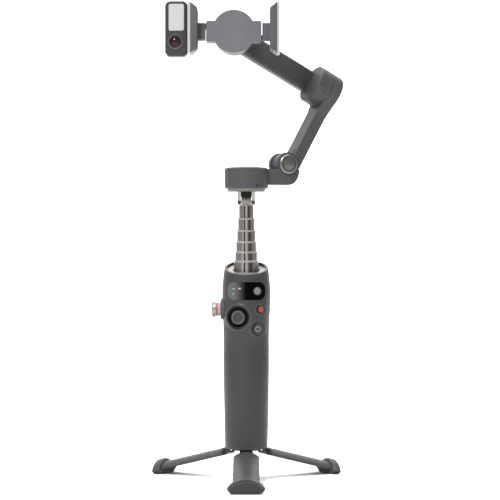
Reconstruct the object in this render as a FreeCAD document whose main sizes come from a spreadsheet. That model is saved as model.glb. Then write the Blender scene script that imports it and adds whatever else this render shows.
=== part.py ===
"""Folding camera gimbal with a built-in tripod, a telescopic rod and a sprung clamp, in millimetres.

The origin is the mouth of the threaded hole under the handle, on the handle's axis, +Z up.
The gimbal stands on its three spread legs and its control side faces -Y.
"""
import FreeCAD, Part
import Sketcher
import math
import os
import re

from FreeCAD import Placement, Rotation, Vector

doc = FreeCAD.newDocument("Gimbal")
sizes = doc.addObject("Spreadsheet::Sheet", "Sizes")

DIMENSIONS = {
    # stand: height of the origin above the ground, and the legs
    "stand_height": 24.0,
    "leg_hinge_radius": 11.0,
    "leg_hinge_drop": 0.2,
    "leg_slope": 14.8,
    "leg_reach": 72.0,
    "leg_crown": 14.0,
    "leg_width": 20.5,
    "leg_edge": 1.6,
    "foot_radius": 17.0,
    "foot_length": 5.5,
    "foot_pad": 2.2,
    "leg_tongue": 6.0,
    "leg_pin_radius": 1.1,
    # handle shell
    "grip_bottom": 1.7,
    "grip_foot": 17.0,
    "grip_waist": 18.2,
    "grip_waist_height": 72.0,
    "grip_bulge": 19.3,
    "grip_bulge_height": 122.6,
    "grip_rim": 17.4,
    "grip_rim_height": 145.6,
    "grip_depth_ratio": 1.12,
    "scoop_height": 85.0,
    "scoop_depth": 18.6,
    "brow_height": 104.0,
    "brow_depth": 21.5,
    "rim_slope": 16.0,
    "shell_wall": 1.8,
    # core of the handle
    "thread_radius": 3.175,
    "thread_depth": 6.5,
    "cap_radius": 8.4,
    "cap_height": 8.0,
    "hub_radius": 13.6,
    "cell_radius": 9.2,
    "cell_length": 65.0,
    "core_wall": 1.2,
    # telescopic rod
    "rod_radius": 9.7,
    "rod_step": 0.78,
    "rod_wall": 0.70,
    "rod_length": 45.0,
    "rod_first_top": 150.9,
    "rod_first_gap": 7.3,
    "rod_gap_growth": 0.8,
    "collar_height": 1.4,
    "collar_lip": 0.30,
    "well_radius": 10.65,
    "dish_drop": 2.2,
    "dish_thickness": 1.6,
    # knuckle and pan motor
    "pin_height": 198.0,
    "pin_radius": 1.2,
    "ear_inner": 4.3,
    "ear_outer": 7.15,
    "ear_end": 2.5,
    "tongue_half": 4.05,
    "pan_radius": 17.5,
    "pan_bottom": 208.3,
    "pan_top": 225.1,
    "pan_base_radius": 15.7,
    "pan_base_height": 2.4,
    # head arms
    "head_turn": 24.0,
    "arm_depth": 17.0,
    "arm_low": 211.6,
    "arm_high": 224.4,
    "fold_reach": 32.9,
    "fold_height": 228.5,
    "fold_barrel": 9.4,
    "fold_cap_radius": 7.7,
    "elbow_reach": 67.6,
    "elbow_height": 290.2,
    "elbow_radius": 15.85,
    "elbow_outer": 11.0,
    "elbow_inner": 11.5,
    "elbow_slope": 27.0,
    "lower_arm_width": 9.6,
    "lower_arm_depth": 17.0,
    "lower_arm_offset": 1.2,
    "fold_tongue": 9.6,
    "upper_arm_width": 18.4,
    "upper_arm_depth": 10.0,
    "upper_arm_back": 8.5,
    "upper_arm_shift": 2.0,
    "upper_arm_length": 80.0,
    # roll motor and clamp
    "roll_across": -9.7,
    "roll_height": 330.0,
    "roll_radius": 14.8,
    "roll_back": -6.0,
    "roll_front": 11.0,
    "disc_radius": 16.9,
    "stack_radius": 16.2,
    "disc_front": 33.0,
    "clamp_half": 21.65,
    "clamp_height": 16.4,
    "slider_height": 13.2,
    "jaw_gap_half": 28.1,
    "jaw_thickness": 5.6,
    "jaw_height": 39.8,
    "jaw_inner_height": 31.2,
    "jaw_lift": 2.0,
    "jaw_back": 20.0,
    "jaw_front": 42.0,
    "jaw_plate": 2.1,
    "light_width": 17.6,
    "light_height": 43.1,
    "light_depth": 12.0,
    "light_corner": 4.2,
    # controls
    "window_width": 29.8,
    "window_height": 14.0,
    "window_corner": 5.0,
    "window_level": 127.0,
    "stick_across": -6.4,
    "stick_level": 106.3,
    "stick_well": 9.9,
    "stick_cap": 5.6,
    "dial_level": 112.2,
    "dial_radius": 6.35,
    "fit": 0.08,
}

for row, (alias, size) in enumerate(DIMENSIONS.items(), start=1):
    sizes.set(f"A{row}", alias)
    sizes.set(f"B{row}", str(size))
    sizes.setAlias(f"B{row}", alias)
doc.recompute()


def value(text):
    """Return the number that an expression of sheet names stands for."""
    names = {alias: float(sizes.get(alias)) for alias in re.findall(r"[a-z_]{3,}", text)
             if alias in DIMENSIONS}
    for alias in sorted(names, key=len, reverse=True):
        text = re.sub(rf"\b{alias}\b", repr(names[alias]), text)
    total = FreeCAD.Units.Quantity(text.replace("--", "+"))
    return total.Value


def linked(text):
    """Return the expression with each sheet name written in full."""
    return re.sub(r"[a-z_]{3,}", lambda found: "Sizes." + found.group(), text)


# ---------------------------------------------------------------- building blocks

pieces = {}


def keep(label, thing, place=None):
    """Give a finished object its name, and its place if it has one of its own."""
    thing.Label = label
    if place is not None:
        thing.Placement = place.multiply(thing.Placement)
    pieces[label] = thing
    return thing


def start_body(name):
    """Make an empty PartDesign body."""
    return doc.addObject("PartDesign::Body", name)


def flat_sketch(body, role, level="0"):
    """Attach a sketch to one of the body's origin planes, lifted by an expression."""
    sketch = body.newObject("Sketcher::SketchObject", body.Name + "_outline")
    plane = next(item for item in body.Origin.OriginFeatures if item.Role == role)
    sketch.AttachmentSupport = [(plane, "")]
    sketch.MapMode = "FlatFace"
    sketch.setExpression("AttachmentOffset.Base.z", linked(level))
    return sketch


def draw_outline(sketch, corners):
    """Draw a closed outline whose corner coordinates follow the sheet."""
    spots = [Vector(value(x), value(y), 0) for x, y in corners]
    count = len(spots)
    for index in range(count):
        sketch.addGeometry(Part.LineSegment(spots[index], spots[(index + 1) % count]), False)
    for index in range(count):
        sketch.addConstraint(Sketcher.Constraint("Coincident", index, 2, (index + 1) % count, 1))
    for index, (x, y) in enumerate(corners):
        for kind, text, number in (("DistanceX", x, spots[index].x), ("DistanceY", y, spots[index].y)):
            where = sketch.addConstraint(Sketcher.Constraint(kind, index, 1, number))
            sketch.setExpression(f"Constraints[{where}]", linked(text))


def pad(body, sketch, length):
    """Raise a sketch by an expression's length."""
    feature = body.newObject("PartDesign::Pad", body.Name + "_pad")
    feature.Profile = sketch
    feature.setExpression("Length", linked(length))
    return feature


def turned(name, profile):
    """Turn a closed outline of (radius, height) expressions about the Z axis."""
    body = start_body(name)
    sketch = flat_sketch(body, "XZ_Plane")
    draw_outline(sketch, profile)
    feature = body.newObject("PartDesign::Revolution", name + "_turn")
    feature.Profile = sketch
    feature.ReferenceAxis = (sketch, ["V_Axis"])
    feature.Angle = 360
    return body


def ring(name, inner, outer, low, high):
    """Make a plain tube, washer or (with a zero bore) disc."""
    return turned(name, [(inner, low), (outer, low), (outer, high), (inner, high)])


def prism(name, role, corners, length, level="0"):
    """Raise a closed outline from one of the origin planes."""
    body = start_body(name)
    sketch = flat_sketch(body, role, level)
    draw_outline(sketch, corners)
    pad(body, sketch, length)
    return body


def rectangle(x_low, x_high, y_low, y_high):
    """Return the four corners of an upright rectangle."""
    return [(x_low, y_low), (x_high, y_low), (x_high, y_high), (x_low, y_high)]


def block(name, x_low, x_high, y_low, y_high, z_low, z_high):
    """Make a box between expressions for its six faces."""
    return prism(name, "XY_Plane", rectangle(x_low, x_high, y_low, y_high),
                 f"({z_high}) - ({z_low})", z_low)


def soften(body, radius, wanted):
    """Round every edge of the body for which wanted(edge) is true."""
    doc.recompute()
    last = body.Tip
    edges = [f"Edge{number}" for number, edge in enumerate(last.Shape.Edges, start=1) if wanted(edge)]
    feature = body.newObject("PartDesign::Fillet", body.Name + "_round")
    feature.Base = (last, edges)
    feature.Radius = radius
    body.Tip = feature
    return body


def bevel(body, size, wanted):
    """Chamfer every edge of the body for which wanted(edge) is true."""
    doc.recompute()
    last = body.Tip
    edges = [f"Edge{number}" for number, edge in enumerate(last.Shape.Edges, start=1) if wanted(edge)]
    feature = body.newObject("PartDesign::Chamfer", body.Name + "_bevel")
    feature.Base = (last, edges)
    feature.Size = size
    body.Tip = feature
    return body


def runs_along(edge, axis):
    """Tell whether a straight edge lies along an axis given as a vector."""
    if not isinstance(edge.Curve, (Part.Line, Part.LineSegment)):
        return False
    return abs(edge.tangentAt(edge.FirstParameter).dot(axis)) > 0.999


def is_circle_at(edge, level, radius=None):
    """Tell whether an edge is a circle at a height along Z, with a radius if one is given."""
    if not isinstance(edge.Curve, Part.Circle):
        return False
    same = abs(edge.CenterOfMass.z - level) < 0.01
    return same and (radius is None or abs(edge.Curve.Radius - radius) < 0.01)


def cylinder(name, radius, length, place=None):
    """Make a round bar along its own Z axis."""
    bar = doc.addObject("Part::Cylinder", name)
    bar.setExpression("Radius", linked(radius))
    bar.setExpression("Height", linked(length))
    if place is not None:
        bar.Placement = place
    return bar


def joined(name, *things):
    """Fuse several objects into one."""
    fuse = doc.addObject("Part::MultiFuse", name)
    fuse.Shapes = list(things)
    fuse.Refine = True
    return fuse


def cut(name, base, *tools):
    """Take one or more objects away from another."""
    tool = tools[0] if len(tools) == 1 else joined(name + "_tools", *tools)
    result = doc.addObject("Part::Cut", name)
    result.Base = base
    result.Tool = tool
    return result


def shared(name, first, second):
    """Keep only what two objects share."""
    result = doc.addObject("Part::Common", name)
    result.Base = first
    result.Tool = second
    return result


def plain(name, shape):
    """Hold a shape made with Part's own functions."""
    holder = doc.addObject("Part::Feature", name)
    holder.Shape = shape
    return holder


def at(x=0.0, y=0.0, z=0.0, turn=0.0, axis=Vector(0, 0, 1)):
    """Return a placement: a turn about an axis, then a shift."""
    return Placement(Vector(x, y, z), Rotation(axis, turn))


X_AXIS = Vector(1, 0, 0)
Y_AXIS = Vector(0, 1, 0)
Z_AXIS = Vector(0, 0, 1)
TO_X = Rotation(Y_AXIS, 90)
TO_FRONT = Rotation(X_AXIS, 90)

# ---------------------------------------------------------------- handle shell

def grip_solid(name, inset):
    """Loft the handle's outside, or its inside when inset is the wall."""
    ratio = value("grip_depth_ratio")
    middle_half = (value("grip_foot") + value("grip_waist")) / 2 + 0.15
    stations = [
        (value("grip_bottom") - 6.0, value("grip_foot") - 0.3, (value("grip_foot") - 0.3) * ratio),
        (value("grip_bottom"), value("grip_foot"), value("grip_foot") * ratio),
        (value("grip_waist_height") / 2, middle_half, middle_half * ratio),
        (value("grip_waist_height") - 10.0, value("grip_waist"), value("grip_waist") * ratio - 0.6),
        (value("scoop_height"), value("grip_waist"), value("scoop_depth")),
        (value("brow_height"), value("grip_waist") + 0.45, value("brow_depth")),
        (value("grip_bulge_height"), value("grip_bulge"), value("grip_bulge") * ratio),
        (value("grip_rim_height"), value("grip_rim"), value("grip_rim") * ratio),
        (value("grip_rim_height") + 9.0, value("grip_rim") - 1.4, (value("grip_rim") - 1.4) * ratio),
    ]
    rings = []
    for height, half, half_depth in stations:
        across = half - inset
        deep = half_depth - inset
        oval = Part.Ellipse(Vector(0, deep, height), Vector(across, 0, height), Vector(0, 0, height))
        rings.append(Part.Wire(oval.toShape(math.pi / 2, 2.5 * math.pi)))
    return plain(name, Part.makeLoft(rings, True))


def rim_cutter(name, lift):
    """Make a block above the sloping rim, moved along the axis by lift."""
    cutter = doc.addObject("Part::Box", name)
    cutter.Length = cutter.Width = cutter.Height = 80
    tilt = Placement(Vector(0, 0, value("grip_rim_height") + lift), Rotation(X_AXIS, value("rim_slope")))
    cutter.Placement = tilt.multiply(at(-40, -40, 0))
    return cutter


def below_rim(name, lift, low):
    """Make the block between a level and the sloping rim plane."""
    column = doc.addObject("Part::Box", name + "_column")
    column.Length = column.Width = 80
    column.Height = 200
    column.Placement = at(-40, -40, low)
    return cut(name, column, rim_cutter(name + "_cutter", lift))


def half_space(name, front):
    """Make a big block in front of the seam plane, or behind it."""
    half = doc.addObject("Part::Box", name)
    half.Length = half.Width = 60
    half.Height = 220
    half.Placement = at(-30, -60 if front else 0, -20)
    return half


def window_cutter(name, ease):
    """Make the rounded opening of the display window, grown by ease."""
    half_wide = f"(window_width / 2 + {ease})"
    half_high = f"(window_height / 2 + {ease})"
    opening = prism(name, "XZ_Plane",
                    rectangle("-" + half_wide, half_wide,
                              f"window_level - {half_high}", f"window_level + {half_high}"), "30")
    return soften(opening, value("window_corner") + ease, lambda edge: runs_along(edge, Y_AXIS))


def front_hole(name, across, level, radius):
    """Make a round cutter that runs forward from the handle's axis."""
    return cylinder(name, radius, "30", Placement(Vector(value(across), 0, value(level)), TO_FRONT))


BUTTONS = {
    "record_button": ("11.6", "112.5", "3.3"),
    "switch_button": ("9.3", "97.1", "4.9"),
}

outer_front = shared("outer_front", grip_solid("grip_outer", 0.0), half_space("front_half", True))
inner_front = grip_solid("grip_inner", value("shell_wall"))
seated = shared("outer_seated", outer_front, below_rim("front_rim", 0.0, value("grip_bottom")))
front_tools = [inner_front, window_cutter("window_hole", 0.15),
               front_hole("stick_hole", "stick_across", "stick_level", "stick_well - 1.0")]
for label, (across, level, radius) in BUTTONS.items():
    front_tools.append(front_hole(label + "_hole", across, level, radius + " + 0.25"))
handle_front = cut("front_shell", seated, *front_tools)
keep("handle_front_cover", handle_front)

outer_rear = shared("outer_rear", grip_solid("grip_outer_rear", 0.0), half_space("rear_half", False))
seated_rear = shared("rear_seated", outer_rear, below_rim("rear_rim", 0.0, value("grip_bottom")))
socket_level = 88.0
socket_hole = prism("socket_hole", "YZ_Plane",
                    rectangle("4.25", "7.75", str(socket_level - 4.7), str(socket_level + 4.7)), "30")
soften(socket_hole, 1.7, lambda edge: runs_along(edge, X_AXIS))
trigger_hole = prism("trigger_hole", "XZ_Plane", rectangle("-6.2", "6.2", "100.3", "121.7"), "40", "-40")
soften(trigger_hole, 0.5, lambda edge: runs_along(edge, Y_AXIS))
handle_rear = cut("rear_shell", seated_rear, grip_solid("grip_inner_rear", value("shell_wall")),
                  socket_hole, trigger_hole)
keep("handle_rear_cover", handle_rear)

# The pale dish that closes the handle's top, with the rod's sleeve below it.
dish_slab = shared("dish_slab", grip_solid("dish_outer", value("shell_wall") + 0.05),
                   below_rim("dish_top", -value("dish_drop"), 120.0))
dish_under = below_rim("dish_under", -value("dish_drop") - value("dish_thickness"), 100.0)
dish_plate = cut("dish_plate", dish_slab, dish_under)
sleeve_bore = "rod_radius + fit"
sleeve_top = 127.4
sleeve = ring("sleeve_tube", sleeve_bore, "well_radius + 1.3", "84", "141.5")
well_core = cylinder("well_core", "well_radius", "40", at(z=sleeve_top))
keep("rod_sleeve", cut("sleeve_and_dish", joined("sleeve_joined", dish_plate, sleeve), well_core,
                       cylinder("sleeve_core", sleeve_bore, "80", at(z=70))))

# Core tube, end cap with the tripod thread, hub, battery and board.
end_cap = turned("end_cap_turn", [("thread_radius", "0"), ("cap_radius", "0"), ("cap_radius", "cap_height"),
                                  ("0", "cap_height"), ("0", "thread_depth"),
                                  ("thread_radius", "thread_depth")])
keep("end_cap", end_cap)
keep("core_tube", ring("core_tube_turn", "cell_radius + fit", "cell_radius + core_wall",
                       "cap_height", "cap_height + cell_length + 2"))
cell = ring("cell_turn", "0", "cell_radius", "cap_height + 0.5", "cap_height + cell_length")
keep("battery_cell", bevel(cell, 0.8, lambda edge: isinstance(edge.Curve, Part.Circle)))

hub_ring = ring("hub_ring", "cap_radius + 0.02", "hub_radius", "2.2", "cap_height")
lug = block("lug", "leg_hinge_radius - 2.2", "leg_hinge_radius + 2.2",
            "leg_tongue / 2 + 0.15", "leg_tongue / 2 + 2.3", "-2.4", "2.4")
lug_twin = block("lug_twin", "leg_hinge_radius - 2.2", "leg_hinge_radius + 2.2",
                 "-leg_tongue / 2 - 2.3", "-leg_tongue / 2 - 0.15", "-2.4", "2.4")
doc.recompute()
LEGS = {"front": -90.0, "left": 150.0, "right": 30.0}
pin_hole = cylinder("pin_hole", "leg_pin_radius", "leg_tongue + 5",
                    Placement(Vector(value("leg_hinge_radius"), -value("leg_tongue") / 2 - 2.5,
                                     -value("leg_hinge_drop")), Rotation(X_AXIS, -90)))
lug_pair = cut("lug_pair", joined("lug_joined", lug, lug_twin), pin_hole)
doc.recompute()
lugs = [plain("lugs_" + leg, lug_pair.Shape.transformed(at(turn=turn).toMatrix()))
        for leg, turn in LEGS.items()]
keep("tripod_hub", joined("hub_joined", hub_ring, *lugs))

leg_pin = Part.makeCylinder(value("leg_pin_radius"), value("leg_tongue + 4.6"),
                            Vector(value("leg_hinge_radius"), -value("leg_tongue / 2 + 2.3"),
                                   -value("leg_hinge_drop")), Y_AXIS)
keep("leg_pins", plain("leg_pin_set", Part.makeCompound(
    [leg_pin.transformed(at(turn=turn).toMatrix()) for turn in LEGS.values()])))

board = block("board", "-9.8", "9.8", "-13.1", "-12.1", "88", "134")
keep("control_board", soften(board, 2.0, lambda edge: runs_along(edge, Y_AXIS)))

# ---------------------------------------------------------------- legs and feet

def leg_place(turn):
    """Place a leg's own frame: X out along the spread leg, Z up out of its crown."""
    hinge = Placement(Vector(value("leg_hinge_radius"), 0, -value("leg_hinge_drop")),
                      Rotation(Y_AXIS, value("leg_slope")))
    return at(turn=turn).multiply(hinge)


def sector(radius, low, high, start, stop):
    """Make a third-of-a-circle wedge between two radii about the folded handle's axis."""
    half = math.radians(59.0)
    centre = -value("leg_hinge_radius")
    points = []
    for angle in (-half, 0.0, half):
        points.append(Vector(start, high * math.sin(angle), centre + high * math.cos(angle)))
    flat = centre + low
    reach = low * math.tan(half)
    arc = Part.Arc(points[0], points[1], points[2]).toShape()
    sides = [Part.LineSegment(points[2], Vector(start, reach, flat)).toShape(),
             Part.LineSegment(Vector(start, reach, flat), Vector(start, -reach, flat)).toShape(),
             Part.LineSegment(Vector(start, -reach, flat), points[0]).toShape()]
    face = Part.Face(Part.Wire([arc] + sides))
    return face.extrude(Vector(stop - start, 0, 0))


def crowned_bar(start, stop):
    """Make the leg's crowned bar between two distances from its hinge."""
    crown = value("leg_crown")
    half = value("leg_width") / 2
    centre = -value("leg_hinge_radius")
    drop = centre + math.sqrt(crown ** 2 - half ** 2)
    low = drop - value("leg_edge")
    arc = Part.Arc(Vector(start, -half, drop), Vector(start, 0, centre + crown), Vector(start, half, drop))
    hollow = Part.Arc(Vector(start, half, low), Vector(start, 0, low + 1.2), Vector(start, -half, low))
    sides = [Part.LineSegment(Vector(start, half, drop), Vector(start, half, low)),
             Part.LineSegment(Vector(start, -half, low), Vector(start, -half, drop))]
    wire = Part.Wire([arc.toShape(), sides[0].toShape(), hollow.toShape(), sides[1].toShape()])
    return Part.Face(wire).extrude(Vector(stop - start, 0, 0))


def leg_shapes():
    """Make one leg and its pad in the leg's own frame."""
    reach = value("leg_reach")
    length = value("foot_length")
    tongue_half = value("leg_tongue") / 2
    bar = crowned_bar(7.5, reach - length + 0.5)
    nose = [edge for edge in bar.Edges if abs(edge.CenterOfMass.x - 7.5) < 0.01 and edge.CenterOfMass.z > 1]
    bar = bar.makeChamfer(0.9, nose)
    tongue = Part.makeBox(12.5, 2 * tongue_half, 3.6, Vector(0, -tongue_half, -1.8))
    eye = Part.makeCylinder(1.8, 2 * tongue_half, Vector(0, -tongue_half, 0), Y_AXIS)
    rib = Part.makeBox(reach - 12, 3.0, 5.0, Vector(9, -1.5, -3.0))
    foot = sector(0, 4.0, value("foot_radius"), reach - length, reach)
    rear = [edge for edge in foot.Edges if abs(edge.CenterOfMass.x - reach + length) < 0.01
            and edge.CenterOfMass.z > 1 and isinstance(edge.Curve, Part.Circle)]
    foot = foot.makeChamfer(1.6, rear)
    leg = bar.fuse([tongue, eye, rib, foot]).removeSplitter()
    pin = Part.makeCylinder(value("leg_pin_radius + fit"), 20, Vector(0, -10, 0), Y_AXIS)
    sole = sector(0, 4.0, value("foot_radius") - 1.1, reach, reach + value("foot_pad"))
    tip = [edge for edge in sole.Edges if abs(edge.CenterOfMass.x - reach - value("foot_pad")) < 0.01
           and isinstance(edge.Curve, Part.Circle)]
    return leg.cut(pin), sole.makeChamfer(0.8, tip)


leg_shape, sole_shape = leg_shapes()
ground = Part.makeBox(400, 400, 40, Vector(-200, -200, -value("stand_height") - 40))
for leg, turn in LEGS.items():
    here = leg_place(turn).toMatrix()
    keep("leg_" + leg, plain("leg_shape_" + leg, leg_shape.transformed(here).cut(ground)))
    keep("foot_pad_" + leg, plain("pad_shape_" + leg, sole_shape.transformed(here).cut(ground)))

# ---------------------------------------------------------------- rod

SECTIONS = ["a", "b", "c", "d", "e", "f"]
top = "rod_first_top"
for index, letter in enumerate(SECTIONS):
    if index:
        top = f"{top} + rod_first_gap + rod_gap_growth * {index - 1}"
    radius = f"rod_radius - rod_step * {index}"
    bore = f"rod_radius - rod_step * {index} - rod_wall"
    low = f"({top}) - rod_length"
    if letter != "f":
        lip = f"{radius} + collar_lip"
        tube = turned("rod_turn_" + letter, [
            (bore, low), (radius, low), (radius, f"{top} - collar_height"),
            (lip, f"{top} - collar_height"), (lip, f"{top} - 0.25"), (f"{lip} - 0.25", top), (bore, top)])
        slot_depth = 0.35
    else:
        tube = turned("rod_turn_" + letter, [
            (bore, low), (radius, low), (radius, f"{top} - 0.4"), (f"{radius} - 0.4", top),
            ("0", top), ("0", f"{top} - 6"), (bore, f"{top} - 6")])
        slot_depth = 0.4
    doc.recompute()
    outer = value(radius)
    reach = math.sqrt(outer ** 2 - 2.0 ** 2)
    key = doc.addObject("Part::Box", "key_" + letter)
    key.Length = 1.1
    key.Width = 3.0
    key.Height = value("rod_length - collar_height") - 2
    key.Placement = at(-2.0, -reach - 3.0 + slot_depth, value(low) + 1)
    rod_piece = cut("rod_key_" + letter, tube, key)
    if letter == "f":
        tongue = block("rod_tongue", "-tongue_half", "tongue_half", "-4.0", "4.0",
                       f"{top} - 1", "pin_height")
        crown = cylinder("rod_eye", "4.0", "tongue_half * 2",
                         Placement(Vector(-value("tongue_half"), 0, value("pin_height")), TO_X))
        rod_pin = cylinder("rod_pin_hole", "pin_radius", "30",
                           Placement(Vector(-15, 0, value("pin_height")), TO_X))
        rod_piece = cut("rod_top", joined("rod_joined", rod_piece, tongue, crown), rod_pin)
    keep("rod_section_" + letter, rod_piece)
doc.recompute()

# ---------------------------------------------------------------- controls

grip_skin = grip_solid("grip_skin", 0.0)


def skin_depth(across, level):
    """Return how far the handle's front skin stands in front of its axis at a spot."""
    probe = Part.makeLine(Vector(across, 0, level), Vector(across, -60, level))
    return -grip_skin.Shape.common(probe).BoundBox.YMin


window = prism("window_block", "XZ_Plane",
               rectangle("-window_width / 2", "window_width / 2", "window_level - window_height / 2",
                         "window_level + window_height / 2"), "20", "6")
soften(window, value("window_corner"), lambda edge: runs_along(edge, Y_AXIS))
window_back = grip_solid("window_back", value("shell_wall") + 0.6)
mode_hole = front_hole("mode_hole", "8.5", "window_level", "3.35")
keep("display_window", cut("window_cut", shared("window_shell", window, grip_solid("window_face", 0.15)),
                           window_back, mode_hole))

BUTTON_ROOT = 14.2


def button(name, across, level, radius, rise):
    """Make a round button whose face stands out from the handle's front by rise."""
    length = round(skin_depth(value(across), value(level)) + rise - BUTTON_ROOT, 2)
    crown = ring(name + "_crown", "0", radius, "0", str(length))
    bevel(crown, 0.5, lambda edge: is_circle_at(edge, length))
    return keep(name, crown, Placement(Vector(value(across), -BUTTON_ROOT, value(level)), TO_FRONT))


for label, (across, level, radius) in BUTTONS.items():
    button(label, across, level, radius, 0.5)
button("mode_button", "8.5", "window_level", "3.25", 0.2)

# Thumb stick: a well in the shell, a tilting ring and a cap on a stalk.
stick_face = skin_depth(value("stick_across"), value("stick_level"))
stick_place = Placement(Vector(value("stick_across"), -stick_face + 4.4, value("stick_level")), TO_FRONT)
well = turned("well_turn", [("0", "-2.4"), ("stick_well - 1.2", "-2.4"), ("stick_well - 1.2", "5.0"),
                            ("stick_well - 2.2", "4.6"), ("stick_well - 2.6", "-1.5"), ("0", "-1.5")])
keep("stick_well", well, stick_place)
gimbal_ring = ring("gimbal_ring", "2.6", "4.2", "-0.3", "0.9")
keep("stick_ring", gimbal_ring, stick_place)
stick = turned("stick_turn", [("0", "-0.3"), ("1.6", "-0.3"), ("1.6", "3.4"), ("stick_cap - 0.6", "3.4"),
                              ("stick_cap", "4.0"), ("stick_cap", "5.3"), ("stick_cap - 0.7", "6.0"),
                              ("4.1", "6.0"), ("3.2", "5.2"), ("0", "5.0")])
keep("stick_cap", stick, stick_place)

# Side dial on the left of the handle, and the trigger behind it.
dial_seat = value("grip_bulge") - 0.9
dial_place = Placement(Vector(-dial_seat, -1.0, value("dial_level")), Rotation(Y_AXIS, -90))
boss = ring("dial_boss_turn", "1.3", "dial_radius + 1.9", "-3", "2.1")
bevel(boss, 0.6, lambda edge: is_circle_at(edge, 2.1))
boss.Placement = dial_place
keep("dial_boss", cut("dial_boss_cut", boss, grip_solid("dial_skin", -0.02)))
dial_ring = ring("dial_ring_turn", "0", "dial_radius - 0.5", "2.3", "4.0")
dial_red = ring("dial_red_turn", "0", "dial_radius - 0.9", "4.0", "6.0")
keep("dial_ring", joined("dial_rings", dial_ring, dial_red, cylinder("dial_axle", "1.2", "1.6", at(z=0.9))),
     dial_place)
knurl_teeth = 36
grip = Part.makeCylinder(value("dial_radius"), 3.1, Vector(0, 0, 6.05))
rim = [edge for edge in grip.Edges if isinstance(edge.Curve, Part.Circle) and edge.CenterOfMass.z > 8]
grip = grip.makeChamfer(0.5, rim)
notch = Part.makeBox(0.7, 0.45, 2.2, Vector(value("dial_radius") - 0.25, -0.225, 6.4))
notches = [notch.transformed(at(turn=360.0 * tooth / knurl_teeth).toMatrix())
           for tooth in range(knurl_teeth)]
keep("dial_grip", plain("dial_grip_shape", grip.cut(Part.makeCompound(notches))), dial_place)

paddle = prism("trigger_paddle", "YZ_Plane",
               [("15.2", "101.0"), ("20.0", "101.0"), ("24.0", "104.0"), ("22.9", "111.0"),
                ("24.4", "120.0"), ("23.4", "121.0"), ("15.2", "121.0")], "11.8", "-5.9")
keep("trigger", soften(paddle, 1.2, lambda edge: runs_along(edge, X_AXIS) and edge.CenterOfMass.y > 20.1))

socket_body = prism("socket_body", "YZ_Plane",
                    rectangle("4.35", "7.65", "83.4", "92.6"), "6.4", "11.6")
socket_mouth = prism("socket_mouth", "YZ_Plane",
                     rectangle("4.8", "7.2", "83.9", "92.1"), "6", "12.6")
keep("charging_socket", cut("socket_cut", soften(socket_body, 1.6, lambda edge: runs_along(edge, X_AXIS)),
                            socket_mouth))

# ---------------------------------------------------------------- knuckle and pan motor

PIN = value("pin_height")
ears = []
for side in (-1, 1):
    near = "ear_inner" if side > 0 else "-ear_outer"
    ear = prism(f"ear_{side + 1}", "YZ_Plane",
                [("-ear_end", "pin_height"), ("ear_end", "pin_height"),
                 ("4.6", "pan_bottom - pan_base_height"),
                 ("-4.6", "pan_bottom - pan_base_height")], "ear_outer - ear_inner", near)
    eye = cylinder(f"ear_eye_{side + 1}", "ear_end", "ear_outer - ear_inner",
                   Placement(Vector(value(near), 0, PIN), TO_X))
    ears += [ear, eye]
base = turned("pan_base_turn", [
    ("0", "pan_bottom - pan_base_height"), ("pan_base_radius - 1", "pan_bottom - pan_base_height"),
    ("pan_base_radius", "pan_bottom"), ("5", "pan_bottom"), ("5", "pan_top - 5"), ("0", "pan_top - 5")])
ear_hole = cylinder("ear_hole", "pin_radius", "30", Placement(Vector(-15, 0, PIN), TO_X))
web = block("ear_web", "-ear_inner - 0.5", "ear_inner + 0.5", "-1.5", "0.5", "pin_height + 4.45",
            "pan_bottom - pan_base_height + 0.5")
keep("pan_base", cut("pan_base_cut", joined("pan_base_joined", base, web, *ears), ear_hole))
keep("knuckle_pin", cylinder("knuckle_pin_bar", "pin_radius - fit / 2", "ear_outer * 2",
                             Placement(Vector(-value("ear_outer"), 0, PIN), TO_X)))
keep("pan_motor", ring("pan_motor_turn", "5.02", "14.6", "pan_bottom + 2", "pan_top - 5"))

HEAD = at(turn=value("head_turn"))
housing = turned("pan_housing_turn", [
    ("5.6", "pan_bottom + 0.25"), ("pan_radius - 0.5", "pan_bottom + 0.25"),
    ("pan_radius", "pan_bottom + 0.75"),
    ("pan_radius", "pan_top - 1.2"), ("pan_radius - 1.2", "pan_top"), ("0", "pan_top"),
    ("0", "pan_top - 1.8"), ("pan_radius - 1.8", "pan_top - 1.8"), ("pan_radius - 1.8", "pan_bottom + 1.6"),
    ("5.6", "pan_bottom + 1.6")])
keep("pan_housing", housing, HEAD)

reach = value("fold_reach")
level = value("fold_height")
half_depth = value("arm_depth") / 2
arm_bar = prism("arm_bar", "XZ_Plane",
                [("14", "arm_low"), ("fold_reach + 2.0", "arm_low"), ("fold_reach + 5.6", "arm_low + 1.2"),
                 ("fold_reach + 8.4", "arm_low + 4.0"), ("fold_reach + 9.9", "arm_low + 7.6"),
                 ("fold_reach + 10.2", "fold_height - 4.5"), ("fold_reach + 9.0", "fold_height - 3.9"),
                 ("fold_reach + 5", "fold_height - 3.9"),
                 ("fold_reach", "fold_height"), ("fold_reach - 8", "arm_high"), ("14", "arm_high")],
                "arm_depth", "-arm_depth / 2")
chin_level = value("arm_low") + 8.0
soften(arm_bar, 1.2, lambda edge: not runs_along(edge, Y_AXIS) and edge.CenterOfMass.z < chin_level)
arm_eye = cylinder("arm_eye", "fold_barrel", "arm_depth",
                   Placement(Vector(reach, half_depth, level), TO_FRONT))
slot_half = value("fold_tongue") / 2 + 0.15
slot_solid = plain("arm_slot", Part.makeCylinder(value("fold_barrel") + 0.6, 2 * slot_half,
                                                 Vector(reach, -slot_half, level), Y_AXIS))
fold_bore = cylinder("fold_bore", "2.5", "40", Placement(Vector(reach, 20, level), TO_FRONT))
motor_room = cylinder("motor_room", "pan_radius + 0.02", "60", at(z=190))
keep("pan_arm", cut("pan_arm_cut", joined("pan_arm_joined", arm_bar, arm_eye), slot_solid, fold_bore,
                    motor_room), HEAD)

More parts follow.
